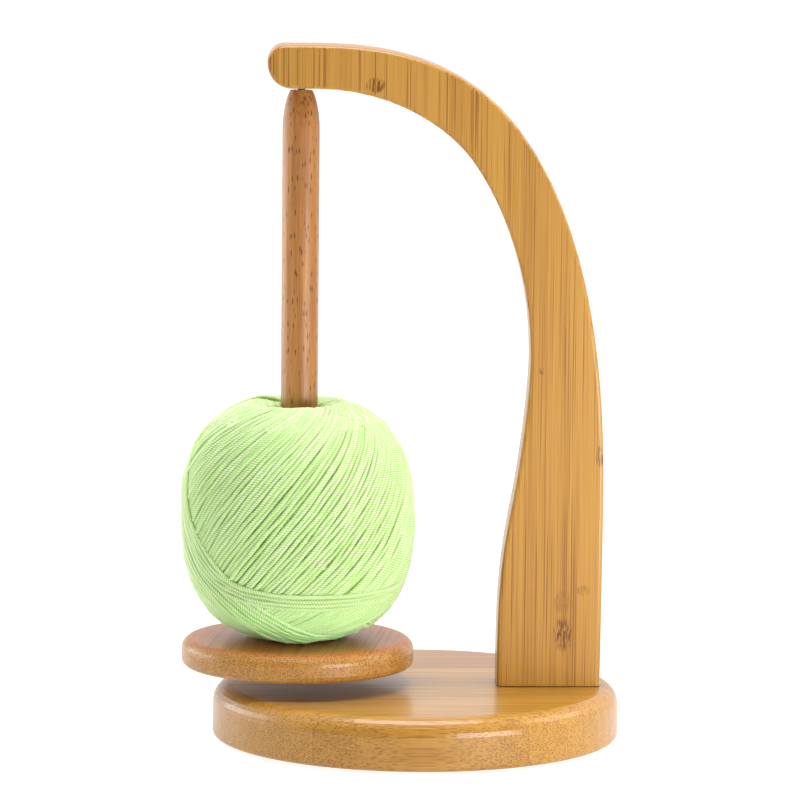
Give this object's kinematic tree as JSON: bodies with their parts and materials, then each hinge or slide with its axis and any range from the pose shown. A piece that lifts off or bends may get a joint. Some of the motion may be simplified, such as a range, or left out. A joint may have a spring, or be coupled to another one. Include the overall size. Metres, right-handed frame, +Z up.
{
  "type": "yarn swift",
  "caption": "Pendulum yarn holder: a round wooden base, a curved arm, and a magnet-hung spindle with a tray that turns under a ball of yarn.",
  "frame": {"origin": "on the table, under the middle of the whole object's length and width; the base's centre is 7.15 mm along +X from it", "axes": "+Z up along the spindle, +X from the hanging spindle to the arm's foot, -Y to the front, which is the side in the picture"},
  "size_m": [0.1942, 0.18, 0.3087],
  "materials": {
    "bamboo": "clear semi-gloss lacquer over laminated bamboo",
    "beech": "satin lacquer over beech dowel",
    "steel": "zinc-plated fasteners",
    "magnet": "nickel-plated magnets and polished steel ball",
    "brass": "plain turned brass",
    "pad": "matt soft rubber",
    "yarn": "soft plied yarn"
  },
  "bodies": {
    "stand": {"base_disc": "bamboo", "foot_pad_1": "pad", "foot_pad_2": "pad", "foot_pad_3": "pad", "foot_pad_4": "pad", "arm": "bamboo", "arm_bolt_1": "steel", "arm_bolt_2": "steel", "arm_washer_1": "steel", "arm_washer_2": "steel", "arm_insert_1": "brass", "arm_insert_2": "brass", "arm_magnet": "magnet"},
    "ball": {"pivot_ball": "magnet"},
    "ball_seat": {"spindle_magnet": "magnet"},
    "pendulum": {"spindle": "beech", "tray": "bamboo", "tray_screw": "steel"},
    "yarn": {"yarn_ball": "yarn"}
  },
  "joints": [
    {"name": "swing_sideways", "type": "hinge", "parent": "stand", "child": "ball", "pos_m": [-0.04535, 0, 0.2872], "axis": [0, -1, 0], "range_deg": [-9, 7]},
    {"name": "swing_fore_and_aft", "type": "hinge", "parent": "ball", "child": "ball_seat", "pos_m": [-0.04535, 0, 0.2872], "axis": [1, 0, 0], "range_deg": [-9, 9]},
    {"name": "spindle_spin", "type": "hinge", "parent": "ball_seat", "child": "pendulum", "pos_m": [-0.04535, 0, 0.2872], "axis": [0, 0, 1], "continuous": true},
    {"name": "yarn_lift", "type": "slide", "parent": "pendulum", "child": "yarn", "axis": [0, 0, 1], "range_m": [0, 0.1]}
  ]
}
